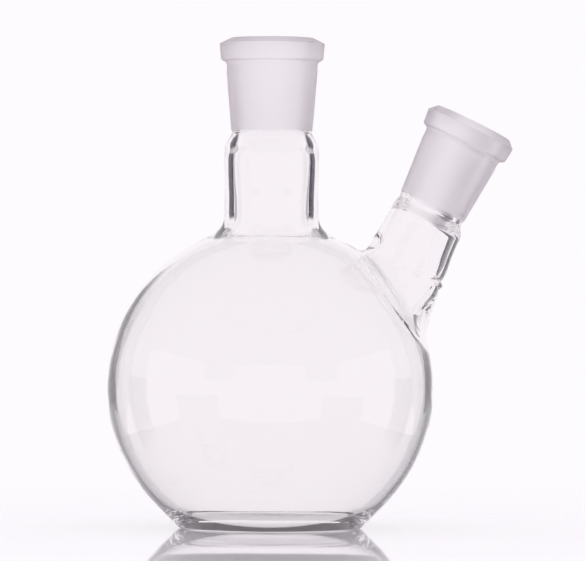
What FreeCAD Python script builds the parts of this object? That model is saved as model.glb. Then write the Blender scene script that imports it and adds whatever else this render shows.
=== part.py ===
"""Two-neck laboratory flask, millimetres, +Z up.

The origin is the centre of the resting ring, on the axis of the bulb. +X points from that axis
towards the side neck. Every piece is a solid of glass that is fused, face to face, to the next.
"""

import FreeCAD, Part
import math
import os

# Bulb: a blown sphere whose underside was pressed flat while it was soft.
BULB_RADIUS = 52.5
BULB_CENTRE_Z = 45.0
BULB_WALL = 1.6
HEEL_RADIUS = 1.6
HEEL_CENTRE_R = 28.6
REST_RING_INNER_R = 26.5
PUSH_UP = 0.9
FLOOR_THICKNESS = 1.4
INNER_HEEL_RADIUS = 1.5
HEEL_THICKENING = 0.3

# Centre neck, drawn up from the shoulder of the bulb.
NECK_RADIUS = 15.2
NECK_WALL = 2.9
SHOULDER_FILLET = 8.0
INNER_SHOULDER_FILLET = 8.5
NECK_FOOT_Z = 101.6
NECK_TOP_Z = 126.4
NECK_ROUNDING = 5.0

# Ground sockets: a 24/29 in the centre and a 19 mm one at the side, both tapered 1 in 10 on diameter.
TAPER_PER_MM = 0.05
GROUND_LENGTH = 29.0
MOUTH_CHAMFER = 0.5
RIM_HEIGHT = 7.1
RIM_DRAFT = 0.45
LEDGE_WIDTH = 1.3
LEDGE_DROP = 0.5
COLLAR_FILLET_HEIGHT = 4.2
CENTRE_SOCKET = {
    "length": 29.8,
    "mouth_r": 12.0,
    "tail_r": 13.05,
    "collar_r": 14.6,
    "rim_r": 16.9,
    "lip_r": 13.3,
    "bevel_height": 1.8,
}
SIDE_SOCKET = {
    "length": 29.9,
    "mouth_r": 9.4,
    "tail_r": 11.3,
    "collar_r": 12.75,
    "rim_r": 15.05,
    "lip_r": 12.8,
    "bevel_height": 2.2,
}

# Seal rings, where each socket's clear tail was melted on to its neck.
CENTRE_SEAL_HEIGHT = 1.2
SIDE_SEAL_HEIGHT = 2.0
SEAL_GROOVE = 0.12
SEAL_WIDENING = 0.12

# Side neck. Its own frame has the lower end of the side socket at its origin and +Z along the axis.
SIDE_TILT_DEG = 26.0
SIDE_TAIL_X = 51.8
SIDE_TAIL_Z = 103.6
SIDE_NECK_WALL = 1.5
SIDE_NECK_TOP_R = 11.2
SIDE_NECK_SHOULDER_R = 12.05
SIDE_NECK_SHOULDER_DEPTH = 4.5
SIDE_NECK_MIDDLE_R = 12.6
SIDE_NECK_MIDDLE_DEPTH = 13.0
SIDE_NECK_FOOT_R = 13.15
SIDE_NECK_FOOT_DEPTH = 19.0

# Weld: the thick ring of glass that was melted round the foot of the side neck.
WELD_BEAD_R = 14.1
WELD_BEAD_DEPTH = 21.8
WELD_CONE_R = 16.2
WELD_CONE_DEPTH = 40.0
WELD_ZONE_R = 20.2
WELD_FILLET = 3.5
WELD_BORE_FILLET = 2.5
BORE_DEPTH = 43.0

AXIS = FreeCAD.Vector(0, 0, 1)
ORIGIN = FreeCAD.Vector(0, 0, 0)
FULL_TURN = 360
SAME_PLACE = 0.01


def at(radius, height):
    """A point of a profile, which lies in the XZ plane."""
    return FreeCAD.Vector(radius, 0, height)


def on_circle(centre, radius, angle):
    """The point of a circle at an angle, in radians, from the horizontal."""
    return centre + at(radius * math.cos(angle), radius * math.sin(angle))


def line(start, end):
    return Part.LineSegment(start, end).toShape()


def arc(centre, radius, start_angle, end_angle):
    """An arc of a circle in the XZ plane, angles in radians."""
    middle = on_circle(centre, radius, (start_angle + end_angle) / 2)
    ends = [on_circle(centre, radius, angle) for angle in (start_angle, end_angle)]
    return Part.Arc(ends[0], middle, ends[1]).toShape()


def smooth(points, start_direction, end_direction):
    """A smooth curve through the points, with the given directions at its ends."""
    curve = Part.BSplineCurve()
    curve.interpolate(Points=points, InitialTangent=start_direction, FinalTangent=end_direction)
    return curve.toShape()


def turned(edges):
    """The solid swept by a closed profile that turns once about the Z axis."""
    wire = Part.Wire(Part.__sortEdges__(edges))
    face = Part.Face(wire)
    solid = Part.Solid(face.revolve(ORIGIN, AXIS, FULL_TURN).Shells[0])
    solid.fix(1e-6, 1e-6, 1e-6)
    if solid.Volume < 0:
        solid.reverse()
    return solid


def to_side(shape):
    """Moves a shape from the side neck's own frame to its place on the flask."""
    tilt = FreeCAD.Rotation(FreeCAD.Vector(0, 1, 0), SIDE_TILT_DEG)
    placed = shape.copy()
    placed.Placement = FreeCAD.Placement(at(SIDE_TAIL_X, SIDE_TAIL_Z), tilt)
    return placed


def bulb_outside():
    """The bulb as if it were solid glass, up to the foot of the centre neck."""
    centre = at(0, BULB_CENTRE_Z)
    fillet_r = NECK_RADIUS + SHOULDER_FILLET
    fillet_rise = math.sqrt((BULB_RADIUS + SHOULDER_FILLET) ** 2 - fillet_r**2)
    fillet_centre = at(fillet_r, BULB_CENTRE_Z + fillet_rise)
    shoulder_angle = math.atan2(fillet_rise, fillet_r)
    heel_centre = at(HEEL_CENTRE_R, HEEL_RADIUS)
    to_heel = heel_centre - centre
    cone_angle = math.atan2(to_heel.z, to_heel.x)
    cone_angle += math.acos((BULB_RADIUS - HEEL_RADIUS) / to_heel.Length)
    cone_top = on_circle(centre, BULB_RADIUS, cone_angle)
    cone_foot = on_circle(heel_centre, HEEL_RADIUS, cone_angle)
    push_up_radius = (REST_RING_INNER_R**2 + PUSH_UP**2) / (2 * PUSH_UP)
    push_up_centre = at(0, PUSH_UP - push_up_radius)
    push_up_angle = math.acos(REST_RING_INNER_R / push_up_radius)
    neck_foot = at(NECK_RADIUS, NECK_FOOT_Z)
    return turned(
        [
            line(at(0, NECK_FOOT_Z), neck_foot),
            line(neck_foot, at(NECK_RADIUS, fillet_centre.z)),
            arc(fillet_centre, SHOULDER_FILLET, math.pi, math.pi + shoulder_angle),
            arc(centre, BULB_RADIUS, shoulder_angle, cone_angle),
            line(cone_top, cone_foot),
            arc(heel_centre, HEEL_RADIUS, cone_angle, -math.pi / 2),
            line(at(HEEL_CENTRE_R, 0), at(REST_RING_INNER_R, 0)),
            arc(push_up_centre, push_up_radius, push_up_angle, math.pi / 2),
            line(at(0, PUSH_UP), at(0, NECK_FOOT_Z)),
        ]
    )


def bulb_inside():
    """The hollow of the bulb. Its wall thickens from the equator down to the heel."""
    centre = at(0, BULB_CENTRE_Z)
    radius = BULB_RADIUS - BULB_WALL
    bore_r = NECK_RADIUS - NECK_WALL
    fillet = INNER_SHOULDER_FILLET
    fillet_r = bore_r + fillet
    fillet_rise = math.sqrt((radius + fillet) ** 2 - fillet_r**2)
    fillet_centre = at(fillet_r, BULB_CENTRE_Z + fillet_rise)
    shoulder_angle = math.atan2(fillet_rise, fillet_r)
    lower_centre = at(HEEL_THICKENING, BULB_CENTRE_Z)
    lower_radius = radius - HEEL_THICKENING
    heel_z = FLOOR_THICKNESS + INNER_HEEL_RADIUS
    heel_drop = BULB_CENTRE_Z - heel_z
    heel_out = math.sqrt((lower_radius - INNER_HEEL_RADIUS) ** 2 - heel_drop**2)
    heel_centre = at(HEEL_THICKENING + heel_out, heel_z)
    heel_angle = -math.atan2(heel_drop, heel_out)
    floor_r = heel_centre.x
    dome_radius = (floor_r**2 + PUSH_UP**2) / (2 * PUSH_UP)
    dome_centre = at(0, FLOOR_THICKNESS + PUSH_UP - dome_radius)
    dome_angle = math.acos(floor_r / dome_radius)
    floor_top = FLOOR_THICKNESS + PUSH_UP
    return turned(
        [
            line(at(0, NECK_FOOT_Z), at(bore_r, NECK_FOOT_Z)),
            line(at(bore_r, NECK_FOOT_Z), at(bore_r, fillet_centre.z)),
            arc(fillet_centre, fillet, math.pi, math.pi + shoulder_angle),
            arc(centre, radius, shoulder_angle, 0),
            arc(lower_centre, lower_radius, 0, heel_angle),
            arc(heel_centre, INNER_HEEL_RADIUS, heel_angle, -math.pi / 2),
            arc(dome_centre, dome_radius, dome_angle, math.pi / 2),
            line(at(0, floor_top), at(0, NECK_FOOT_Z)),
        ]
    )


def side_foot_outside():
    """The foot of the side neck and its weld as solid glass, in the side neck's own frame."""
    top = at(SIDE_NECK_FOOT_R, -SIDE_NECK_FOOT_DEPTH)
    bead = at(WELD_BEAD_R, -WELD_BEAD_DEPTH)
    cone_foot = at(WELD_CONE_R, -WELD_CONE_DEPTH)
    down_cone = cone_foot - bead
    return turned(
        [
            line(at(0, top.z), top),
            smooth([top, bead], at(0, -1), down_cone),
            line(bead, cone_foot),
            line(cone_foot, at(0, cone_foot.z)),
            line(at(0, cone_foot.z), at(0, top.z)),
        ]
    )


def side_foot_bore():
    """The bore through the weld, in the side neck's own frame."""
    radius = SIDE_NECK_FOOT_R - SIDE_NECK_WALL
    return turned(
        [
            line(at(0, -SIDE_NECK_FOOT_DEPTH), at(radius, -SIDE_NECK_FOOT_DEPTH)),
            line(at(radius, -SIDE_NECK_FOOT_DEPTH), at(radius, -BORE_DEPTH)),
            line(at(radius, -BORE_DEPTH), at(0, -BORE_DEPTH)),
            line(at(0, -BORE_DEPTH), at(0, -SIDE_NECK_FOOT_DEPTH)),
        ]
    )


def joined_with_fillet(bulb, branch, fillet):
    """Fuses a branch to the bulb and rounds the inner corner that runs between the two."""
    whole = bulb.fuse(branch).Solids[0]
    before = [edge.CenterOfMass for edge in bulb.Edges + branch.Edges]
    corner = [
        edge
        for edge in whole.Edges
        if all((edge.CenterOfMass - other).Length > SAME_PLACE for other in before)
        and len(whole.ancestorsOfType(edge, Part.Face)) == 2
    ]
    return whole.makeFillet(fillet, corner)


def bulb_and_weld():
    """Splits the bulb's glass from the weld's, round the foot of the side neck."""
    outside = joined_with_fillet(bulb_outside(), to_side(side_foot_outside()), WELD_FILLET)
    inside = joined_with_fillet(bulb_inside(), to_side(side_foot_bore()), WELD_BORE_FILLET)
    glass = outside.cut(inside)
    zone = Part.makeCylinder(WELD_ZONE_R, BORE_DEPTH, at(0, -BORE_DEPTH), AXIS)
    zone = to_side(zone)
    return glass.cut(zone), glass.common(zone)


def centre_neck():
    """A straight tube whose top closes in, with a round shoulder, to the socket's tail."""
    bore_top_r = bore_at_tail(CENTRE_SOCKET) + SEAL_WIDENING
    bore_r = NECK_RADIUS - NECK_WALL
    rounding_z = NECK_TOP_Z - NECK_ROUNDING
    top_r = CENTRE_SOCKET["tail_r"]
    outer_foot = at(NECK_RADIUS, NECK_FOOT_Z)
    outer_shoulder = at(NECK_RADIUS, rounding_z)
    inner_shoulder = at(bore_r, rounding_z - NECK_WALL / 2)
    return turned(
        [
            line(at(bore_r, NECK_FOOT_Z), outer_foot),
            line(outer_foot, outer_shoulder),
            smooth([outer_shoulder, at(top_r, NECK_TOP_Z)], AXIS, at(-1, 0.7)),
            line(at(top_r, NECK_TOP_Z), at(bore_top_r, NECK_TOP_Z)),
            smooth([at(bore_top_r, NECK_TOP_Z), inner_shoulder], at(0.2, -1), at(0, -1)),
            line(inner_shoulder, at(bore_r, NECK_FOOT_Z)),
        ]
    )


def seal(height, upper_r, lower_r, upper_bore_r, lower_bore_r):
    """A short ring of clear glass with a shallow groove round it. Its top is at height 0."""
    groove = at(min(upper_r, lower_r) - SEAL_GROOVE, -height / 2)
    return turned(
        [
            line(at(upper_bore_r, 0), at(upper_r, 0)),
            smooth([at(upper_r, 0), groove, at(lower_r, -height)], at(-0.4, -1), at(0.4, -1)),
            line(at(lower_r, -height), at(lower_bore_r, -height)),
            line(at(lower_bore_r, -height), at(upper_bore_r, 0)),
        ]
    )


def bore_at_tail(size):
    """The radius of a socket's bore at its lower end."""
    return size["mouth_r"] - TAPER_PER_MM * GROUND_LENGTH


def socket(size):
    """A ground socket with a thick bevelled rim. Its lower end is at height 0."""
    tail_bore_r = bore_at_tail(size)
    mouth = at(size["mouth_r"], size["length"] - MOUTH_CHAMFER)
    mouth_edge = mouth + at(MOUTH_CHAMFER, MOUTH_CHAMFER)
    ground_foot = at(tail_bore_r, mouth.z - GROUND_LENGTH)
    lip = at(size["lip_r"], size["length"])
    rim_top = at(size["rim_r"], size["length"] - size["bevel_height"])
    rim_foot = at(size["rim_r"] - RIM_DRAFT, size["length"] - RIM_HEIGHT)
    ledge = rim_foot - at(LEDGE_WIDTH, LEDGE_DROP)
    collar = at(size["collar_r"], rim_foot.z - COLLAR_FILLET_HEIGHT)
    tail = at(size["tail_r"], 0)
    return turned(
        [
            line(at(tail_bore_r, 0), tail),
            line(tail, collar),
            smooth([collar, ledge, rim_foot], collar - tail, at(1, 0)),
            line(rim_foot, rim_top),
            line(rim_top, lip),
            line(lip, mouth_edge),
            line(mouth_edge, mouth),
            line(mouth, ground_foot),
            line(ground_foot, at(tail_bore_r, 0)),
        ]
    )


def side_neck():
    """The side tube, a little wider towards its foot, in its own frame."""
    top = at(SIDE_NECK_TOP_R, -SIDE_SEAL_HEIGHT)
    shoulder = at(SIDE_NECK_SHOULDER_R, -SIDE_NECK_SHOULDER_DEPTH)
    middle = at(SIDE_NECK_MIDDLE_R, -SIDE_NECK_MIDDLE_DEPTH)
    foot = at(SIDE_NECK_FOOT_R, -SIDE_NECK_FOOT_DEPTH)
    bore_top = at(bore_at_tail(SIDE_SOCKET) + SEAL_WIDENING, top.z)
    in_by = at(SIDE_NECK_WALL, 0)
    bore_shoulder = shoulder - in_by - at(0, SIDE_NECK_WALL)
    return turned(
        [
            line(bore_top, top),
            smooth([top, shoulder, middle, foot], at(0.45, -1), at(0, -1)),
            line(foot, foot - in_by),
            smooth([foot - in_by, middle - in_by, bore_shoulder, bore_top], at(0, 1), at(-0.3, 1)),
        ]
    )


def raised(shape, height):
    shape.translate(at(0, height))
    return shape


def pieces():
    """Every piece of glass by name, in its place on the flask."""
    centre_tail_z = NECK_TOP_Z + CENTRE_SEAL_HEIGHT
    centre_tail_r = CENTRE_SOCKET["tail_r"]
    centre_bore_r = bore_at_tail(CENTRE_SOCKET)
    centre_seal = seal(
        CENTRE_SEAL_HEIGHT,
        centre_tail_r,
        centre_tail_r,
        centre_bore_r,
        centre_bore_r + SEAL_WIDENING,
    )
    side_seal = seal(
        SIDE_SEAL_HEIGHT,
        SIDE_SOCKET["tail_r"],
        SIDE_NECK_TOP_R,
        bore_at_tail(SIDE_SOCKET),
        bore_at_tail(SIDE_SOCKET) + SEAL_WIDENING,
    )
    bulb, side_weld = bulb_and_weld()
    return {
        "bulb": bulb,
        "centre_neck": centre_neck(),
        "centre_seal": raised(centre_seal, centre_tail_z),
        "centre_socket": raised(socket(CENTRE_SOCKET), centre_tail_z),
        "side_weld": side_weld,
        "side_neck": to_side(side_neck()),
        "side_seal": to_side(side_seal),
        "side_socket": to_side(socket(SIDE_SOCKET)),
    }


os.makedirs("parts", exist_ok=True)
for name, shape in pieces().items():
    box = shape.BoundBox
    print(
        f"{name}: {len(shape.Solids)} solid, valid {shape.isValid()}, {shape.Volume:.0f} mm3,",
        f"x {box.XMin:.2f} {box.XMax:.2f}, z {box.ZMin:.2f} {box.ZMax:.2f}",
    )
    shape.exportStep(f"parts/{name}.step")
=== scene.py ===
"""Looks of the two-neck boiling flask: dense blown-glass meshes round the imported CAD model, in metres.

Every piece is a closed shell of glass. Where two pieces are fused, both end in a seam, which light
crosses without bending, so the flask looks like one piece of glass. The two seams are a hair apart,
as light would be caught between faces in the same place.
"""

import math

import bpy
import numpy as np
from mathutils import Matrix, Vector


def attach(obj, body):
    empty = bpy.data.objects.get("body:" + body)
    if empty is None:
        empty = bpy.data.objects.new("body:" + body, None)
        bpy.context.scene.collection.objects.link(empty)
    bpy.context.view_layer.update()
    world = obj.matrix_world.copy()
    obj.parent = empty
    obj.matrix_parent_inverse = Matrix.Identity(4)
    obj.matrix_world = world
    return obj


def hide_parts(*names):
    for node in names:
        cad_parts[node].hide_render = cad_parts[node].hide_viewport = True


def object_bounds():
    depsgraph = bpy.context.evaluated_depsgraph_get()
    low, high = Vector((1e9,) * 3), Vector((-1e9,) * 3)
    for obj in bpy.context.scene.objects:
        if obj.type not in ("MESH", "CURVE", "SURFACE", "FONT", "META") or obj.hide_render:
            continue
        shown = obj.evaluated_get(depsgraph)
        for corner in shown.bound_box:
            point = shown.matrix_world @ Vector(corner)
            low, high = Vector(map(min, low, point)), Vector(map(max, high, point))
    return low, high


MM = 0.001

# Driving sizes of the glass, in millimetres, which the CAD model shares.
BULB_RADIUS = 52.5
BULB_CENTRE_Z = 45.0
BULB_WALL = 1.6
HEEL_RADIUS = 1.6
HEEL_CENTRE_R = 28.6
REST_RING_INNER_R = 26.5
PUSH_UP = 0.9
FLOOR_THICKNESS = 1.4
INNER_HEEL_RADIUS = 1.5
HEEL_THICKENING = 0.3
NECK_RADIUS = 15.2
NECK_WALL = 2.9
NECK_FOOT_THICKENING = 0.45
NECK_FOOT_Z = 101.6
NECK_TOP_Z = 126.4
NECK_ROUNDING = 5.0
# Where the shoulder leaves the bulb's sphere, above its equator.
SHOULDER_ANGLE = math.radians(65.5)
# The neck's bore, as a depth below the neck's top and a change of radius: first from the
# socket's tail, then from the neck's own bore.
NECK_BORE_TOP = ((0.0, 0.0), (1.8, 0.35), (3.8, 1.1))
NECK_BORE_WAVE = ((5.6, 0.0), (7.5, 0.2), (11.5, 0.15), (16.5, -0.1))
NECK_BORE_FOOT_DEPTH = 22.0
TAPER_PER_MM = 0.05
GROUND_LENGTH = 29.0
MOUTH_CHAMFER = 0.5
RIM_HEIGHT = 7.1
RIM_DRAFT = 0.45
LEDGE_WIDTH = 1.3
LEDGE_DROP = 0.5
RIM_ROUNDING = 0.5
RIM_UNDERSIDE_DROP = 0.1
COLLAR_FILLET_HEIGHT = 4.2
CENTRE_SOCKET = {
    "length": 29.8,
    "mouth_r": 12.0,
    "tail_r": 13.05,
    "collar_r": 14.6,
    "rim_r": 16.9,
    "lip_r": 13.3,
    "bevel_height": 1.8,
}
SIDE_SOCKET = {
    "length": 29.9,
    "mouth_r": 9.4,
    "tail_r": 11.3,
    "collar_r": 12.75,
    "rim_r": 15.05,
    "lip_r": 12.8,
    "bevel_height": 2.2,
}
CENTRE_SEAL_HEIGHT = 1.2
SIDE_SEAL_HEIGHT = 2.0
SEAL_GROOVE = 0.12

# The side neck, whose frame has its origin at the foot of its socket and Z along its axis.
SIDE_TILT = math.radians(26.0)
SIDE_TAIL_X = 51.8
SIDE_TAIL_Z = 103.6
SIDE_NECK_WALL = 1.5
SIDE_NECK_TOP_R = 11.2
SIDE_NECK_FOOT_DEPTH = 19.0
SIDE_LEAN = 0.5
SIDE_LEAN_FULL_DEPTH = 6.0
SIDE_BORE_DEPTH = 6.5
# The side neck and its weld outside, as a mean radius and a depth, down into the bulb.
SIDE_OUTLINE_POINTS = (
    (SIDE_NECK_TOP_R, SIDE_SEAL_HEIGHT),
    (12.05, 4.5),
    (12.25, 8.0),
    (12.6, 13.0),
    (13.1, 17.0),
    (13.15, SIDE_NECK_FOOT_DEPTH),
    (13.5, 24.0),
    (14.1, 28.1),
    (14.9, 32.7),
    (15.9, 37.7),
    (17.2, 44.0),
)

# The bead, the thick glass and the lump, each as a size, a depth, a half height and the
# degrees round the tube over which it fades away.
OUTER_SIDE, INNER_SIDE = 0, 180
WELD_BEAD = 0.6
WELD_BEAD_DEPTH = 21.8
WELD_BEAD_HALF_HEIGHT = 0.7
WELD_BEAD_SPREAD = 35
WELD_NOTCH_RISE = 1.5
WELD_THICKENING = 1.6
WELD_THICK_DEPTH = 33.0
WELD_THICK_HALF_HEIGHT = 5.0
WELD_THICK_SPREAD = 40
WELD_LUMP = 0.7
WELD_LUMP_DEPTH = 18.5
WELD_LUMP_HALF_HEIGHT = 2.0
WELD_LUMP_SPREAD = 30

# The zone of the bulb that the weld takes up, and the reach of the weld's fillet.
WELD_ZONE_R = 20.8
WELD_ZONE_WIDENING = 4.5
WELD_REACH = 10.0
WELD_CORNER_REACH = 3.0
WELD_CORNER_SPREAD = 45
WELD_FILLET_SHARE = 0.95

# Meshes. The two seams of a joint stand SEAM_GAP apart, in millimetres, or half of that where the
# weld's zone is cut out of the bulb. The cutter reaches CUT_REACH times as far out as the bulb.
ROUND = 256
SEAM_GAP = 0.01
RIM_ROWS, FILLET_ROWS, WALL_ROWS, TUBE_ROWS = 7, 20, 36, 48
WELD_TOP_ROW = RIM_ROWS + FILLET_ROWS + WALL_ROWS - 1
SPHERE_TOLERANCE = 0.02
CUT_REACH = 1.5
# The search for the height where the side neck meets the bulb: where it starts, and its steps.
MEET_START, MEET_TRIES = -30.0, 13
# How far along the way to its corner each handle of a rounded corner stands.
CORNER_HANDLES = (0, 0.4, 0.8)
# The places of the materials on each piece.
CLEAR, GROUND, SEAM, SOCKET = 0, 1, 2, 3

# Materials. Bump heights are in metres.
GLASS_IOR = 1.47
WAVE_SCALE = 70.0
WAVE_HEIGHT = 0.00006
GRAIN_SCALE = 4000.0
GRAIN_HEIGHT = 0.00001
# Painted shade at the sockets' edges, and the Facing values over which it comes in.
SOCKET_EDGE_SHADE = (0.50, 0.38, 0.48)
SOCKET_EDGE_SHADE_RANGE = (0.25, 0.85)

# The studio, in metres. Each edge is a low and a high value of a soft step.
BACKGROUND = (0.984, 0.965, 0.991)
FLOOR_COLOUR = (0.985, 0.94, 1.0)
FLOOR_CORNERS = 64
FLOOR_DROP = 0.0001
FLOOR_FADE = (0.15, 0.4)
FLOOR_GLOW = 0.95
NEAR_FLOOR = 0.6
FAR_FLOOR = 12.0
PANEL_COLOUR = (0.93, 0.88, 0.92)
PANEL_HALF_WIDTH = 0.079
PANEL_DISTANCE = 0.130
PANEL_HEIGHT = 0.30
LIGHT_STUDIO = (0.93, 0.88, 0.92)
DARK_STUDIO = (0.03, 0.015, 0.04)
FRONT_EDGE = (0.25, -0.05)
TOP_EDGE = (0.2, 0.45)
# The places of a Mix node's colour sockets, whose names it gives to other sockets as well.
MIX_COLOURS = (6, 7)
MIX_RESULT = 2
# How much brighter the backdrop is for light that the frost scatters.
FROST_LIGHT = 1.1
# Painted shade: the strength left of the floor's painted glow where it is mirrored inside the glass, and
# left of the foot of the back softbox where the floor mirrors it through both walls, whose surfaces
# number four, a painted dark reflection under the flask.
MIRRORED = 0.1
MIRRORED_BELOW = 0.05
MIRRORED_BEHIND = 0.1
MIRRORED_SURFACES = 4
CAMERA_PLACE = (0.0069, -1.5, 0.0795)
CAMERA_LENS = 287.0
CAMERA_SENSOR = 36.0
CAMERA_ROLL = 0.3
LIGHT_BOUNCES = 32

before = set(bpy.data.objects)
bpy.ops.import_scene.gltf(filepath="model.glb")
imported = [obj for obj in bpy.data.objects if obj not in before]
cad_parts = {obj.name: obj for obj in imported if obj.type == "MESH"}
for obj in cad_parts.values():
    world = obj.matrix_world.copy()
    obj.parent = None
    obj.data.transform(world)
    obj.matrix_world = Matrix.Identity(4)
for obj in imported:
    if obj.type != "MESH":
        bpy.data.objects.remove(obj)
cad_low, cad_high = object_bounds()


# ---------------------------------------------------------------- profiles
# A profile is an array of (radius, height). Steps is the number of its straight stretches.

def at(radius, height):
    """A point of a profile."""
    return np.array([radius, height], float)


def line(start, end, steps=8):
    t = np.linspace(0, 1, steps + 1)[:, None]
    return (1 - t) * start + t * end


def arc(centre, radius, start_angle, end_angle, steps=24):
    angle = np.linspace(start_angle, end_angle, steps + 1)
    return centre + radius * np.stack([np.cos(angle), np.sin(angle)], 1)


def smooth(points, start_direction, end_direction, steps=24):
    """A curve through the points, cubic from each to the next, with the given end directions."""
    points = np.array(points, float)
    spans = np.linalg.norm(np.diff(points, axis=0), axis=1)
    along = np.concatenate([[0], np.cumsum(spans)])
    slopes = np.gradient(points, along, axis=0)
    for end, direction in ((0, start_direction), (-1, end_direction)):
        slopes[end] = np.array(direction) / np.linalg.norm(direction)
    t = np.linspace(0, 1, steps + 1)[:, None]
    curve = [points[:1]]
    for i, span in enumerate(spans):
        stretch = (
            (1 + 2 * t) * (1 - t) ** 2 * points[i]
            + t * (1 - t) ** 2 * span * slopes[i]
            + t * t * (3 - 2 * t) * points[i + 1]
            - t * t * (1 - t) * span * slopes[i + 1]
        )
        curve.append(stretch[1:])
    return np.concatenate(curve)


def side_normals(points):
    """Unit normals of a profile on the right of its direction of travel."""
    along = np.gradient(points, axis=0, edge_order=min(2, len(points) - 1))
    normals = np.stack([along[:, 1], -along[:, 0]], 1)
    return normals / np.linalg.norm(normals, axis=1)[:, None]


# ---------------------------------------------------------------- meshes

def shell(name, grids):
    """A mesh object from grids. Each is (points, normals, slot), with arrays of rows x ROUND x 3.

    Grids of one shell share their end rows, and vertices in the same place are merged.
    """
    verts, faces, slots, loops = [], [], [], []
    index = {}

    def vertex(p):
        key = tuple(np.round(p, 5))
        if key not in index:
            index[key] = len(verts)
            verts.append(p)
        return index[key]

    for points, normals, slot in grids:
        rows, columns = points.shape[:2]
        ids = [[vertex(points[i, j]) for j in range(columns)] for i in range(rows)]
        for i in range(rows - 1):
            for j in range(columns):
                k = (j + 1) % columns
                corners = [(i, j), (i, k), (i + 1, k), (i + 1, j)]
                face, kept = [], []
                for a, b in corners:
                    if ids[a][b] not in face:
                        face.append(ids[a][b])
                        kept.append(normals[a, b])
                if len(face) < 3:
                    continue
                faces.append(face)
                slots.append(slot)
                loops.extend(kept)
    mesh = bpy.data.meshes.new(name)
    mesh.from_pydata([tuple(v * MM) for v in verts], [], faces)
    mesh.polygons.foreach_set("material_index", slots)
    mesh.polygons.foreach_set("use_smooth", [True] * len(faces))
    piece = bpy.data.objects.new(name, mesh)
    bpy.context.scene.collection.objects.link(piece)
    mesh.normals_split_custom_set([tuple(n) for n in loops])
    mesh.update()
    return piece


def turn(profile, normals, slot, place):
    """The grid swept by a profile that turns about the Z axis, then put in place."""
    angle = np.arange(ROUND) * 2 * math.pi / ROUND
    turned = []
    for values in (profile, normals):
        grid = np.empty((len(values), ROUND, 3))
        grid[:, :, 0] = values[:, :1] * np.cos(angle)
        grid[:, :, 1] = values[:, :1] * np.sin(angle)
        grid[:, :, 2] = values[:, 1:]
        turned.append(grid)
    points, directions = turned
    if place is not None:
        points = points @ place[0].T + place[1]
        directions = directions @ place[0].T
    return points, directions, slot


def draw_back_seams(profile):
    """Moves each seam of a closed profile half a gap into its own piece."""
    parts = [points.copy() for points, slot in profile]
    for i, (seam, slot) in enumerate(profile):
        if slot == SEAM:
            back = SEAM_GAP / 2 * side_normals(seam)[0]
            parts[i - 1][-1] -= back
            parts[i] -= back
            parts[(i + 1) % len(parts)][0] -= back
    return [(points, slot) for points, (_, slot) in zip(parts, profile)]


def turned_shell(name, profile, place=None):
    grids = [
        turn(points, side_normals(whole), slot, place)
        for (points, slot), (whole, _) in zip(draw_back_seams(profile), profile)
    ]
    return shell(name, grids)


# ---------------------------------------------------------------- the bulb, centre neck and sockets

def on_circle(centre, radius, angle):
    """The point of a circle at an angle."""
    return centre + radius * np.array([math.cos(angle), math.sin(angle)])


def bore_at_tail(size):
    """The radius at the narrow end of a socket's ground taper."""
    return size["mouth_r"] - TAPER_PER_MM * GROUND_LENGTH


def rounded(start, corner, end, steps):
    """A curve inside a corner, whose curvature is nil at both ends."""
    handles = [start + share * (corner - start) for share in CORNER_HANDLES]
    handles += [end + share * (corner - end) for share in reversed(CORNER_HANDLES)]
    t = np.linspace(0, 1, steps + 1)[:, None]
    return sum(
        math.comb(5, k) * t**k * (1 - t) ** (5 - k) * handle for k, handle in enumerate(handles)
    )


def shoulder():
    """The outside between the bulb and the centre neck."""
    start = on_circle(at(0, BULB_CENTRE_Z), BULB_RADIUS, SHOULDER_ANGLE)
    rise = (start[0] - NECK_RADIUS) / math.tan(SHOULDER_ANGLE)
    corner = at(NECK_RADIUS, start[1] + rise)
    return rounded(start, corner, at(NECK_RADIUS, NECK_FOOT_Z), 48)


def bulb_outline():
    """The outside of the bulb, from the middle of its base up to the neck."""
    centre = at(0, BULB_CENTRE_Z)
    heel_centre = at(HEEL_CENTRE_R, HEEL_RADIUS)
    to_heel = heel_centre - centre
    cone_angle = math.atan2(to_heel[1], to_heel[0])
    cone_angle += math.acos((BULB_RADIUS - HEEL_RADIUS) / math.hypot(*to_heel))
    cone_top = on_circle(centre, BULB_RADIUS, cone_angle)
    cone_foot = on_circle(heel_centre, HEEL_RADIUS, cone_angle)
    dome_radius = (REST_RING_INNER_R**2 + PUSH_UP**2) / (2 * PUSH_UP)
    dome_centre = at(0, PUSH_UP - dome_radius)
    dome_angle = math.acos(REST_RING_INNER_R / dome_radius)
    return [
        arc(dome_centre, dome_radius, math.pi / 2, dome_angle, 16),
        line(at(REST_RING_INNER_R, 0), at(HEEL_CENTRE_R, 0), 2),
        arc(heel_centre, HEEL_RADIUS, -math.pi / 2, cone_angle, 12),
        line(cone_foot, cone_top, 6),
        arc(centre, BULB_RADIUS, cone_angle, SHOULDER_ANGLE, 120),
        shoulder(),
    ]


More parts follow.
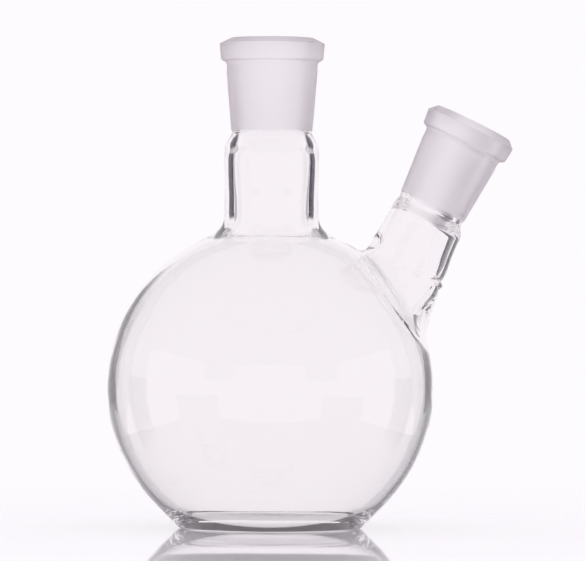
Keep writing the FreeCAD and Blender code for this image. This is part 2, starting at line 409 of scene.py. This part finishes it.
def bulb_hollow():
    """The inside of the bulb, from the neck down to the middle of its floor."""
    centre = at(0, BULB_CENTRE_Z)
    radius = BULB_RADIUS - BULB_WALL
    outer = shoulder()
    share = np.linspace(0, 1, len(outer))[:, None]
    thickening = NECK_WALL + NECK_FOOT_THICKENING - BULB_WALL
    wall = BULB_WALL + thickening * share * share * (3 - 2 * share)
    inner_shoulder = outer - side_normals(outer) * wall
    inner_shoulder[0] = on_circle(centre, radius, SHOULDER_ANGLE)
    inner_shoulder[-1] = at(NECK_RADIUS - NECK_WALL - NECK_FOOT_THICKENING, NECK_FOOT_Z)
    lower_centre = at(HEEL_THICKENING, BULB_CENTRE_Z)
    lower_radius = radius - HEEL_THICKENING
    heel_z = FLOOR_THICKNESS + INNER_HEEL_RADIUS
    heel_drop = BULB_CENTRE_Z - heel_z
    heel_out = math.sqrt((lower_radius - INNER_HEEL_RADIUS) ** 2 - heel_drop**2)
    heel_centre = at(HEEL_THICKENING + heel_out, heel_z)
    heel_angle = -math.atan2(heel_drop, heel_out)
    floor_r = heel_centre[0]
    dome_radius = (floor_r**2 + PUSH_UP**2) / (2 * PUSH_UP)
    dome_centre = at(0, FLOOR_THICKNESS + PUSH_UP - dome_radius)
    dome_angle = math.acos(floor_r / dome_radius)
    return [
        inner_shoulder[::-1],
        arc(centre, radius, SHOULDER_ANGLE, 0, 60),
        arc(lower_centre, lower_radius, 0, heel_angle, 60),
        arc(heel_centre, INNER_HEEL_RADIUS, heel_angle, -math.pi / 2, 16),
        arc(dome_centre, dome_radius, dome_angle, math.pi / 2, 16),
    ]


def all_clear(outlines):
    """Profile parts of clear glass."""
    return [(points, CLEAR) for points in outlines]


def make_bulb():
    foot_bore_r = NECK_RADIUS - NECK_WALL - NECK_FOOT_THICKENING
    seam = line(at(NECK_RADIUS, NECK_FOOT_Z), at(foot_bore_r, NECK_FOOT_Z), 1)
    profile = all_clear(bulb_outline()) + [(seam, SEAM)] + all_clear(bulb_hollow())
    return turned_shell("bulb_glass", profile)


def make_centre_neck():
    bore_top_r = bore_at_tail(CENTRE_SOCKET) + SEAL_GROOVE
    bore_r = NECK_RADIUS - NECK_WALL
    rounding_z = NECK_TOP_Z - NECK_ROUNDING
    top_r = CENTRE_SOCKET["tail_r"]
    closing = smooth([at(NECK_RADIUS, rounding_z), at(top_r, NECK_TOP_Z)], (0, 1), (-0.5, 1))
    outer = [line(at(NECK_RADIUS, NECK_FOOT_Z), at(NECK_RADIUS, rounding_z), 12), closing]
    top = line(at(top_r, NECK_TOP_Z), at(bore_top_r, NECK_TOP_Z), 1)
    foot_bore_r = bore_r - NECK_FOOT_THICKENING
    bore = [at(bore_top_r + change, NECK_TOP_Z - depth) for depth, change in NECK_BORE_TOP]
    bore += [at(bore_r + change, NECK_TOP_Z - depth) for depth, change in NECK_BORE_WAVE]
    bore += [at(foot_bore_r, NECK_TOP_Z - NECK_BORE_FOOT_DEPTH), at(foot_bore_r, NECK_FOOT_Z)]
    inner = smooth(bore, (0.05, -1), (0, -1), 8)
    foot = line(at(foot_bore_r, NECK_FOOT_Z), at(NECK_RADIUS, NECK_FOOT_Z), 1)
    profile = all_clear(outer) + [(top, SEAM), (inner, CLEAR), (foot, SEAM)]
    return turned_shell("centre_neck_glass", profile)


def make_seal(name, height, top_z, upper_r, lower_r, upper_bore_r, lower_bore_r, place=None):
    """The clear ring under a socket, with a shallow groove outside."""
    groove_r = min(upper_r, lower_r) - SEAL_GROOVE
    low_z = top_z - height
    outer = smooth(
        [at(lower_r, low_z), at(groove_r, (top_z + low_z) / 2), at(upper_r, top_z)],
        (-0.4, 1),
        (0.4, 1),
        12,
    )
    profile = [
        (outer, CLEAR),
        (line(at(upper_r, top_z), at(upper_bore_r, top_z), 1), SEAM),
        (line(at(upper_bore_r, top_z), at(lower_bore_r, low_z), 4), CLEAR),
        (line(at(lower_bore_r, low_z), at(lower_r, low_z), 1), SEAM),
    ]
    return turned_shell(name, profile, place)


def make_socket(name, size, tail_z, place=None):
    """A socket: a smooth outside with a bevelled rim, and a ground taper inside."""
    rise = at(0, tail_z)
    tail_bore_r = bore_at_tail(size)
    mouth = at(size["mouth_r"], size["length"] - MOUTH_CHAMFER) + rise
    mouth_edge = mouth + at(MOUTH_CHAMFER, MOUTH_CHAMFER)
    ground_foot = at(tail_bore_r, mouth[1] - GROUND_LENGTH)
    lip = at(size["lip_r"], size["length"]) + rise
    rim_top = at(size["rim_r"], size["length"] - size["bevel_height"]) + rise
    rim_foot = at(size["rim_r"] - RIM_DRAFT, size["length"] - RIM_HEIGHT) + rise
    ledge = rim_foot - at(LEDGE_WIDTH, LEDGE_DROP)
    collar = at(size["collar_r"], rim_foot[1] - COLLAR_FILLET_HEIGHT)
    tail = at(size["tail_r"], 0) + rise
    rim_turn = rim_foot + at(0, RIM_ROUNDING)
    under_rim = rim_foot - at(RIM_ROUNDING, RIM_UNDERSIDE_DROP)
    profile = [
        (line(tail, collar, 20), SOCKET),
        (
            smooth([collar, ledge, under_rim, rim_turn], collar - tail, rim_top - rim_foot, 12),
            SOCKET,
        ),
        (line(rim_turn, rim_top, 6), SOCKET),
        (line(rim_top, lip, 4), SOCKET),
        (line(lip, mouth_edge, 2), CLEAR),
        (line(mouth_edge, mouth, 2), GROUND),
        (line(mouth, ground_foot, 40), GROUND),
        (line(ground_foot, at(tail_bore_r, tail_z), 1), CLEAR),
        (line(at(tail_bore_r, tail_z), tail, 1), SEAM),
    ]
    return turned_shell(name, profile, place)


# ---------------------------------------------------------------- the side neck and its weld

SIDE_ROTATION = np.array(Matrix.Rotation(SIDE_TILT, 3, "Y"))
SIDE_ORIGIN = np.array([SIDE_TAIL_X, 0, SIDE_TAIL_Z])
SIDE = (SIDE_ROTATION, SIDE_ORIGIN)
BULB_CENTRE = np.array([0, 0, BULB_CENTRE_Z])
BULB_CENTRE_FROM_SIDE = SIDE_ROTATION.T @ (BULB_CENTRE - SIDE_ORIGIN)
SIDE_OUTLINE = smooth(SIDE_OUTLINE_POINTS, (0.45, 1), (0.2, 1), 12)


def fade(value, low, high):
    """0 below low, 1 above high and smooth between them."""
    share = min(max((value - low) / (high - low), 0), 1)
    return share * share * (3 - 2 * share)


def bell(value, middle, half_width):
    """1 at the middle, falling to nil on both sides."""
    return math.exp(-(((value - middle) / half_width) ** 2))


def facing(angle, side, half_width):
    """A bell round one side of the tube. The side and half width are in degrees."""
    return bell((math.degrees(angle) - side + 180) % 360 - 180, 0, half_width)


def side_radius(height, angle):
    """The outside of the side neck and its weld, whose outer side has a bead under a notch."""
    depth = -height
    mean = np.interp(depth, SIDE_OUTLINE[:, 1], SIDE_OUTLINE[:, 0])
    lean = SIDE_LEAN * fade(depth, SIDE_SEAL_HEIGHT, SIDE_LEAN_FULL_DEPTH) * math.cos(angle)
    bead = bell(depth, WELD_BEAD_DEPTH, WELD_BEAD_HALF_HEIGHT)
    notch = bell(depth, WELD_BEAD_DEPTH - WELD_NOTCH_RISE, WELD_BEAD_HALF_HEIGHT)
    return mean + lean + WELD_BEAD * (bead - notch) * facing(angle, OUTER_SIDE, WELD_BEAD_SPREAD)


def side_wall(row, height, angle):
    """The thickness of the glass, from the bulb's wall up to the socket's tail."""
    depth = -height
    up = fade(row, 0, RIM_ROWS + FILLET_ROWS)
    weld = facing(angle, OUTER_SIDE, WELD_THICK_SPREAD) * fade(row, 0, RIM_ROWS)
    weld *= bell(depth, WELD_THICK_DEPTH, WELD_THICK_HALF_HEIGHT)
    lump = facing(angle, INNER_SIDE, WELD_LUMP_SPREAD)
    lump *= bell(depth, WELD_LUMP_DEPTH, WELD_LUMP_HALF_HEIGHT)
    tail = SIDE_NECK_TOP_R - bore_at_tail(SIDE_SOCKET) - SEAL_GROOVE - SIDE_NECK_WALL
    return (
        BULB_WALL
        + (SIDE_NECK_WALL - BULB_WALL) * up
        + WELD_THICKENING * weld
        + WELD_LUMP * lump
        + tail * (1 - fade(depth, SIDE_SEAL_HEIGHT, SIDE_BORE_DEPTH))
    )


def sphere_height(reach, angle):
    """The height, in the side neck's frame, at which the outside of the bulb is met."""
    centre = BULB_CENTRE_FROM_SIDE
    dx = reach * math.cos(angle) - centre[0]
    dy = reach * math.sin(angle) - centre[1]
    return centre[2] + math.sqrt(BULB_RADIUS**2 - dx**2 - dy**2)


def side_column(angle):
    """Radii and heights over the bulb, round the weld's fillet and up to the side seal."""
    height = MEET_START
    for _ in range(MEET_TRIES):
        height = sphere_height(side_radius(height, angle), angle)
    meet = np.array([side_radius(height, angle), height])
    eps = 0.01
    drop = sphere_height(meet[0] + eps, angle) - sphere_height(meet[0] - eps, angle)
    down_bulb = np.array([2 * eps, drop]) / math.hypot(2 * eps, drop)
    widening = side_radius(height + eps, angle) - side_radius(height - eps, angle)
    up_wall = np.array([widening, 2 * eps]) / math.hypot(widening, 2 * eps)
    foot = -SIDE_NECK_FOOT_DEPTH
    zone_r = WELD_ZONE_R + WELD_ZONE_WIDENING * math.sin(angle) ** 2
    corner = WELD_CORNER_REACH - WELD_REACH
    reach = min(
        WELD_REACH + corner * facing(angle, OUTER_SIDE, WELD_CORNER_SPREAD),
        WELD_FILLET_SHARE * (zone_r - meet[0]) / down_bulb[0],
        WELD_FILLET_SHARE * (foot - height) / up_wall[1],
    )
    rim_r = np.linspace(zone_r, meet[0] + reach * down_bulb[0], RIM_ROWS)
    rim = np.stack([rim_r, [sphere_height(r, angle) for r in rim_r]], 1)
    end_h = height + reach * up_wall[1]
    end = np.array([side_radius(end_h, angle), end_h])
    fillet = rounded(rim[-1], meet, end, FILLET_ROWS)[1:]
    heights = np.concatenate(
        [
            np.linspace(end_h, foot, WALL_ROWS + 1)[1:],
            np.linspace(foot, -SIDE_SEAL_HEIGHT, TUBE_ROWS + 1)[1:],
        ]
    )
    wall = np.stack([[side_radius(h, angle) for h in heights], heights], 1)
    return np.concatenate([rim, fillet, wall])


def grid_normals(grid, sign):
    """Unit normals of a grid that is closed round its columns."""
    up = np.gradient(grid, axis=0, edge_order=2)
    around = np.roll(grid, -1, 1) - np.roll(grid, 1, 1)
    normals = np.cross(up, around) * sign
    return normals / np.linalg.norm(normals, axis=2)[:, :, None]


def side_surfaces():
    """The outer and inner surfaces of the weld and the side neck, each a grid with its normals."""
    angle = np.arange(ROUND) * 2 * math.pi / ROUND
    columns = np.array([side_column(a) for a in angle]).transpose(1, 0, 2)
    outer = np.empty(columns.shape[:2] + (3,))
    outer[:, :, 0] = columns[:, :, 0] * np.cos(angle)
    outer[:, :, 1] = columns[:, :, 0] * np.sin(angle)
    outer[:, :, 2] = columns[:, :, 1]
    outer_n = grid_normals(outer, -1)
    rim = outer[:RIM_ROWS] - BULB_CENTRE_FROM_SIDE
    outer_n[:RIM_ROWS] = rim / np.linalg.norm(rim, axis=2)[:, :, None]
    # The glass is measured square to the outside at the bulb, and level in the tube.
    level = outer * (1, 1, 0)
    level /= np.linalg.norm(level, axis=2)[:, :, None]
    rows = len(outer)
    turn_level = [fade(row, RIM_ROWS + FILLET_ROWS, WELD_TOP_ROW) for row in range(rows)]
    turn_level = np.array(turn_level)[:, None, None]
    across = outer_n * (1 - turn_level) + level * turn_level
    across /= np.linalg.norm(across, axis=2)[:, :, None]
    wall = [[side_wall(i, outer[i, j, 2], angle[j]) for j in range(ROUND)] for i in range(rows)]
    inner = outer - across * np.array(wall)[:, :, None]
    inner_n = grid_normals(inner, 1)
    rim = inner[0] - BULB_CENTRE_FROM_SIDE
    inner_n[0] = -rim / np.linalg.norm(rim, axis=1)[:, None]
    return outer, outer_n, inner, inner_n


def wall_piece(name, outer, outer_n, inner, inner_n):
    """A stretch of wall between two surfaces. The cuts at its two ends are seams."""
    outer, inner = outer.copy(), inner.copy()
    for grid in (outer, inner):
        for end, neighbour in ((0, 1), (-1, -2)):
            out = grid[end] - grid[neighbour]
            grid[end] -= SEAM_GAP / 2 * out / np.linalg.norm(out, axis=1)[:, None]
    top = np.stack([outer[-1], inner[-1]])
    edge = np.stack([inner[0], outer[0]])
    up = np.stack([outer[-1] - outer[-2]] * 2)
    down = np.stack([outer[0] - outer[1]] * 2)
    parts = [
        (outer, outer_n, CLEAR),
        (top, up / np.linalg.norm(up, axis=2)[:, :, None], SEAM),
        (inner[::-1], inner_n[::-1], CLEAR),
        (edge, down / np.linalg.norm(down, axis=2)[:, :, None], SEAM),
    ]
    grids = [(p @ SIDE_ROTATION.T + SIDE_ORIGIN, n @ SIDE_ROTATION.T, slot) for p, n, slot in parts]
    return shell(name, grids)


def cut_weld_zone(bulb, ring):
    """Cuts the weld's zone out of the bulb with a cone from the bulb's centre through a ring."""
    beyond = BULB_CENTRE + CUT_REACH * (ring - BULB_CENTRE)
    verts = [tuple(v * MM) for v in [*beyond, BULB_CENTRE, beyond.mean(axis=0)]]
    apex, cap = ROUND, ROUND + 1
    faces = [(apex, (j + 1) % ROUND, j) for j in range(ROUND)]
    faces += [(cap, j, (j + 1) % ROUND) for j in range(ROUND)]
    mesh = bpy.data.meshes.new("zone")
    mesh.from_pydata(verts, [], faces)
    cutter = bpy.data.objects.new("zone", mesh)
    bpy.context.scene.collection.objects.link(cutter)
    for material in bulb.data.materials:
        mesh.materials.append(material)
    mesh.polygons.foreach_set("material_index", [SEAM] * len(mesh.polygons))
    cut = bulb.modifiers.new("zone", "BOOLEAN")
    cut.operation = "DIFFERENCE"
    cut.solver = "EXACT"
    cut.object = cutter
    bpy.context.view_layer.update()
    graph = bpy.context.evaluated_depsgraph_get()
    done = bpy.data.meshes.new_from_object(bulb.evaluated_get(graph))
    bulb.modifiers.clear()
    bulb.data = done
    bpy.data.objects.remove(cutter)
    smooth_sphere(done)


def smooth_sphere(mesh):
    """Sets the exact normals of the two spheres, also where they were cut."""
    middle = Vector((0, 0, BULB_CENTRE_Z * MM))
    normals = [Vector(corner.vector) for corner in mesh.corner_normals]
    for face in mesh.polygons:
        if face.material_index == SEAM:
            continue
        for corner in face.loop_indices:
            out = mesh.vertices[mesh.loops[corner].vertex_index].co - middle
            for radius, sign in ((BULB_RADIUS, 1), (BULB_RADIUS - BULB_WALL, -1)):
                if out.z > 0 and abs(out.length / MM - radius) < SPHERE_TOLERANCE:
                    normals[corner] = out.normalized() * sign
    mesh.normals_split_custom_set([tuple(n) for n in normals])


# ---------------------------------------------------------------- materials

def principled(name, **values):
    """A material whose Principled shader has the given socket values."""
    material = bpy.data.materials.new(name)
    material.use_nodes = True
    shader = material.node_tree.nodes["Principled BSDF"]
    for socket, value in values.items():
        shader.inputs[socket.replace("_", " ")].default_value = value
    return material, material.node_tree, shader


def clear_glass():
    """Blown glass with a faint waviness."""
    material, tree, shader = principled(
        "clear_glass",
        Base_Color=(1, 1, 1, 1),
        Roughness=0.0,
        IOR=GLASS_IOR,
        Transmission_Weight=1.0,
    )
    bump(tree, shader, WAVE_SCALE, WAVE_HEIGHT)
    return material


def bump(tree, shader, scale, height):
    """Uneven height from noise, in metres, as on glass worked by hand or ground."""
    where = tree.nodes.new("ShaderNodeTexCoord")
    noise = tree.nodes.new("ShaderNodeTexNoise")
    noise.inputs["Scale"].default_value = scale
    noise.inputs["Detail"].default_value = 1.0
    relief = tree.nodes.new("ShaderNodeBump")
    relief.inputs["Distance"].default_value = height
    tree.links.new(where.outputs["Object"], noise.inputs["Vector"])
    tree.links.new(noise.outputs["Fac"], relief.inputs["Height"])
    tree.links.new(relief.outputs["Normal"], shader.inputs["Normal"])


def ground_glass():
    """The frosted inside of a socket, with a fine grain."""
    material, tree, shader = principled(
        "ground_glass",
        Base_Color=(1.0, 0.98, 1.0, 1),
        Roughness=0.4,
        IOR=GLASS_IOR,
        Transmission_Weight=0.75,
    )
    bump(tree, shader, GRAIN_SCALE, GRAIN_HEIGHT)
    return material


def socket_glass():
    """The outside of a ground socket, which blurs what is seen through it and has painted shade at its
    edges.
    """
    material, tree, shader = principled(
        "socket_glass",
        Roughness=0.35,
        IOR=GLASS_IOR,
        Transmission_Weight=1.0,
    )
    painted_edge_shade(tree, shader)
    return material


def painted_edge_shade(tree, shader):
    """White where the surface faces the viewer, and painted shade, a darker pinkish grey, towards its
    edges.
    """
    weight = tree.nodes.new("ShaderNodeLayerWeight")
    weight.inputs["Blend"].default_value = 0.5
    ramp = tree.nodes.new("ShaderNodeValToRGB")
    for element, position, colour in zip(
        ramp.color_ramp.elements, SOCKET_EDGE_SHADE_RANGE, ((1, 1, 1), SOCKET_EDGE_SHADE)
    ):
        element.position = position
        element.color = colour + (1,)
    tree.links.new(weight.outputs["Facing"], ramp.inputs["Fac"])
    tree.links.new(ramp.outputs["Color"], shader.inputs["Base Color"])


def seam_glass():
    """Glass that light crosses without bending."""
    return principled(
        "fused_seam",
        Base_Color=(1, 1, 1, 1),
        Roughness=0.0,
        IOR=1.0,
        Transmission_Weight=1.0,
    )[0]


# ---------------------------------------------------------------- set, lights and camera

def make_floor():
    """A plain glossy floor, which turns into the backdrop's own colour some way out.

    Light bent by the glass sees it as a painted glow in the softboxes' colour, or as painted shade where
    it was also mirrored inside the glass.
    The floor's far part is left out of what the glass bends light from.
    """
    material, tree, shader = principled(
        "floor", Base_Color=FLOOR_COLOUR + (1,), Roughness=0.03, IOR=1.45
    )
    where = tree.nodes.new("ShaderNodeTexCoord")
    length = tree.nodes.new("ShaderNodeVectorMath")
    length.operation = "LENGTH"
    tree.links.new(where.outputs["Object"], length.inputs[0])
    backdrop = tree.nodes.new("ShaderNodeEmission")
    backdrop.inputs["Color"].default_value = BACKGROUND + (1,)
    # Seen through the glass the floor glows in the softboxes' colour, a painted light, dimmed to painted
    # shade after a mirroring inside the glass.
    painted_glow_through_glass = tree.nodes.new("ShaderNodeEmission")
    painted_glow_through_glass.inputs["Color"].default_value = PANEL_COLOUR + (1,)
    path = tree.nodes.new("ShaderNodeLightPath")
    bounced = math_node(tree, "GREATER_THAN", path.outputs["Glossy Depth"], 0.5)
    caught = math_node(tree, "SUBTRACT", bounced, mirrored_share(tree))
    tree.links.new(painted_mirror_shade(tree, caught), painted_glow_through_glass.inputs["Strength"])
    bent = math_node(tree, "MULTIPLY", path.outputs["Is Transmission Ray"], FLOOR_GLOW)
    look = shader.outputs[0]
    for factor, other in (
        (soft_step(tree, length.outputs["Value"], *FLOOR_FADE), backdrop),
        (bent, painted_glow_through_glass),
    ):
        pick = tree.nodes.new("ShaderNodeMixShader")
        tree.links.new(factor, pick.inputs["Fac"])
        tree.links.new(look, pick.inputs[1])
        tree.links.new(other.outputs[0], pick.inputs[2])
        look = pick.outputs[0]
    tree.links.new(look, tree.nodes["Material Output"].inputs["Surface"])
    count = FLOOR_CORNERS
    angle = np.arange(count) * 2 * math.pi / count
    rim = np.stack([np.cos(angle), np.sin(angle), 0 * angle], 1)
    ring = np.concatenate([rim * NEAR_FLOOR, rim * FAR_FLOOR])
    around = [(i, count + i, count + (i + 1) % count, (i + 1) % count) for i in range(count)]
    for name, verts, faces in (
        ("floor", rim * NEAR_FLOOR, [tuple(range(count))]),
        ("far_floor", ring, around),
    ):
        mesh = bpy.data.meshes.new(name)
        mesh.from_pydata([tuple(v) for v in verts], [], faces)
        mesh.materials.append(material)
        floor = bpy.data.objects.new(name, mesh)
        bpy.context.scene.collection.objects.link(floor)
        floor.location.z = cad_low.z - FLOOR_DROP
        floor.visible_transmission = name == "floor"


def math_node(tree, operation, *inputs):
    """The output of a math node, whose inputs are numbers or other outputs."""
    node = tree.nodes.new("ShaderNodeMath")
    node.operation = operation
    for slot, value in enumerate(inputs):
        if isinstance(value, (int, float)):
            node.inputs[slot].default_value = value
        else:
            tree.links.new(value, node.inputs[slot])
    return node.outputs[0]


def make_world():
    """One plain backdrop for the camera, and a brighter one for the frost inside the sockets.

    What the glass bends light from is dark, so that its edges read, except where the panels stand.
    """
    world = bpy.data.worlds.new("studio")
    world.use_nodes = True
    bpy.context.scene.world = world
    tree = world.node_tree
    tree.nodes.clear()
    out = tree.nodes.new("ShaderNodeOutputWorld")
    path = tree.nodes.new("ShaderNodeLightPath")
    shader = background(tree, BACKGROUND)
    frost = math_node(tree, "MULTIPLY", path.outputs["Is Transmission Ray"], FROST_LIGHT)
    tree.links.new(math_node(tree, "ADD", 1.0, frost), shader.node.inputs["Strength"])
    bent = background(tree, DARK_STUDIO)
    tree.links.new(studio_colour(tree), bent.node.inputs["Color"])
    pick = tree.nodes.new("ShaderNodeMixShader")
    direct = math_node(tree, "LESS_THAN", path.outputs["Diffuse Depth"], 0.5)
    seen = math_node(tree, "MULTIPLY", path.outputs["Is Transmission Ray"], direct)
    tree.links.new(seen, pick.inputs["Fac"])
    tree.links.new(shader, pick.inputs[1])
    tree.links.new(bent, pick.inputs[2])
    tree.links.new(pick.outputs[0], out.inputs["Surface"])


def studio_colour(tree):
    """Dark at the back of the studio, and light at its front and overhead."""
    where = tree.nodes.new("ShaderNodeTexCoord")
    split = tree.nodes.new("ShaderNodeSeparateXYZ")
    tree.links.new(where.outputs["Generated"], split.inputs[0])
    front = soft_step(tree, split.outputs["Y"], *FRONT_EDGE)
    top = soft_step(tree, split.outputs["Z"], *TOP_EDGE)
    mix = tree.nodes.new("ShaderNodeMix")
    mix.data_type = "RGBA"
    tree.links.new(math_node(tree, "MAXIMUM", front, top), mix.inputs["Factor"])
    for slot, colour in zip(MIX_COLOURS, (DARK_STUDIO, LIGHT_STUDIO)):
        mix.inputs[slot].default_value = colour + (1,)
    return mix.outputs[MIX_RESULT]


def soft_step(tree, value, low, high):
    """0 at low, 1 at high and smooth between them."""
    ramp = tree.nodes.new("ShaderNodeMapRange")
    ramp.interpolation_type = "SMOOTHSTEP"
    ramp.inputs["From Min"].default_value = low
    ramp.inputs["From Max"].default_value = high
    tree.links.new(value, ramp.inputs["Value"])
    return ramp.outputs[0]


def mirrored_share(tree):
    """0, or 1 for what a gloss mirrors through both walls of the glass."""
    path = tree.nodes.new("ShaderNodeLightPath")
    bounced = math_node(tree, "GREATER_THAN", path.outputs["Glossy Depth"], 0.5)
    crossed = path.outputs["Transmission Depth"]
    walls = math_node(tree, "COMPARE", crossed, MIRRORED_SURFACES, 0.5)
    return math_node(tree, "MULTIPLY", bounced, walls)


def painted_mirror_shade(tree, share):
    """1, or less for what is mirrored through the glass: painted shade."""
    return math_node(tree, "SUBTRACT", 1.0, math_node(tree, "MULTIPLY", share, 1 - MIRRORED))


def softbox_strength(tree):
    """The strength of a softbox, less at its foot where the floor mirrors it through the glass: a
    painted dark reflection of the flask in the floor.
    """
    where = tree.nodes.new("ShaderNodeNewGeometry")
    split = tree.nodes.new("ShaderNodeSeparateXYZ")
    tree.links.new(where.outputs["Position"], split.inputs[0])
    low = math_node(tree, "LESS_THAN", split.outputs["Z"], MIRRORED_BELOW)
    back = math_node(tree, "GREATER_THAN", split.outputs["Y"], MIRRORED_BEHIND)
    foot = math_node(tree, "MULTIPLY", low, back)
    return painted_mirror_shade(tree, math_node(tree, "MULTIPLY", mirrored_share(tree), foot))


def background(tree, colour):
    """The output of a background shader."""
    node = tree.nodes.new("ShaderNodeBackground")
    node.inputs["Color"].default_value = tuple(colour) + (1,)
    return node.outputs[0]


def make_panels():
    """Four softboxes close to the flask, one on each side. Only light bent by glass sees them."""
    material = bpy.data.materials.new("softbox")
    material.use_nodes = True
    tree = material.node_tree
    tree.nodes.clear()
    out = tree.nodes.new("ShaderNodeOutputMaterial")
    glow = tree.nodes.new("ShaderNodeEmission")
    glow.inputs["Color"].default_value = PANEL_COLOUR + (1,)
    # Painted dark reflection: the back softbox's foot dims where the floor mirrors it through the glass.
    tree.links.new(softbox_strength(tree), glow.inputs["Strength"])
    clear = tree.nodes.new("ShaderNodeBsdfTransparent")
    side = tree.nodes.new("ShaderNodeNewGeometry")
    pick = tree.nodes.new("ShaderNodeMixShader")
    tree.links.new(side.outputs["Backfacing"], pick.inputs["Fac"])
    tree.links.new(glow.outputs[0], pick.inputs[1])
    tree.links.new(clear.outputs[0], pick.inputs[2])
    tree.links.new(pick.outputs[0], out.inputs["Surface"])
    w, d, h = PANEL_HALF_WIDTH, PANEL_DISTANCE, PANEL_HEIGHT
    for quarter in range(4):
        mesh = bpy.data.meshes.new("softbox")
        mesh.from_pydata([(-w, d, 0), (w, d, 0), (w, d, h), (-w, d, h)], [], [(0, 1, 2, 3)])
        mesh.materials.append(material)
        panel = bpy.data.objects.new(f"softbox_{quarter}", mesh)
        bpy.context.scene.collection.objects.link(panel)
        panel.rotation_euler.z = quarter * math.pi / 2
        panel.visible_camera = False
        panel.visible_diffuse = False
        panel.visible_glossy = False
        panel.visible_shadow = False


def make_camera():
    """A long lens, level and a little above the middle of the flask."""
    data = bpy.data.cameras.new("camera")
    data.lens = CAMERA_LENS
    data.sensor_width = CAMERA_SENSOR
    camera = bpy.data.objects.new("camera", data)
    bpy.context.scene.collection.objects.link(camera)
    camera.location = CAMERA_PLACE
    camera.rotation_euler = (math.pi / 2, 0, 0)
    camera.rotation_euler.rotate_axis("Z", math.radians(CAMERA_ROLL))
    bpy.context.scene.camera = camera


# ---------------------------------------------------------------- the scene

materials = [clear_glass(), ground_glass(), seam_glass(), socket_glass()]
side_grids = side_surfaces()

centre_tail_z = NECK_TOP_Z + CENTRE_SEAL_HEIGHT
centre_bore_r = bore_at_tail(CENTRE_SOCKET)
pieces = {
    "bulb": make_bulb(),
    "centre_neck": make_centre_neck(),
    "centre_seal": make_seal(
        "centre_seal_glass",
        CENTRE_SEAL_HEIGHT,
        centre_tail_z,
        CENTRE_SOCKET["tail_r"],
        CENTRE_SOCKET["tail_r"],
        centre_bore_r,
        centre_bore_r + SEAL_GROOVE,
    ),
    "centre_socket": make_socket("centre_socket_glass", CENTRE_SOCKET, centre_tail_z),
    "side_weld": wall_piece("side_weld_glass", *[grid[: WELD_TOP_ROW + 1] for grid in side_grids]),
    "side_neck": wall_piece("side_neck_glass", *[grid[WELD_TOP_ROW:] for grid in side_grids]),
    "side_seal": make_seal(
        "side_seal_glass",
        SIDE_SEAL_HEIGHT,
        0,
        SIDE_SOCKET["tail_r"],
        SIDE_NECK_TOP_R,
        bore_at_tail(SIDE_SOCKET),
        bore_at_tail(SIDE_SOCKET) + SEAL_GROOVE,
        SIDE,
    ),
    "side_socket": make_socket("side_socket_glass", SIDE_SOCKET, 0, SIDE),
}
for piece in pieces.values():
    for material in materials:
        piece.data.materials.append(material)
cut_weld_zone(pieces["bulb"], side_grids[0][0] @ SIDE_ROTATION.T + SIDE_ORIGIN)
for node, piece in pieces.items():
    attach(piece, "root")
    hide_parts(node)

make_floor()
make_world()
make_panels()
make_camera()

# Light crosses many surfaces in the necks, and would turn black at the usual limits.
cycles = bpy.context.scene.cycles
cycles.max_bounces = LIGHT_BOUNCES
cycles.transmission_bounces = LIGHT_BOUNCES
cycles.glossy_bounces = LIGHT_BOUNCES
bpy.context.scene.view_settings.view_transform = "Standard"
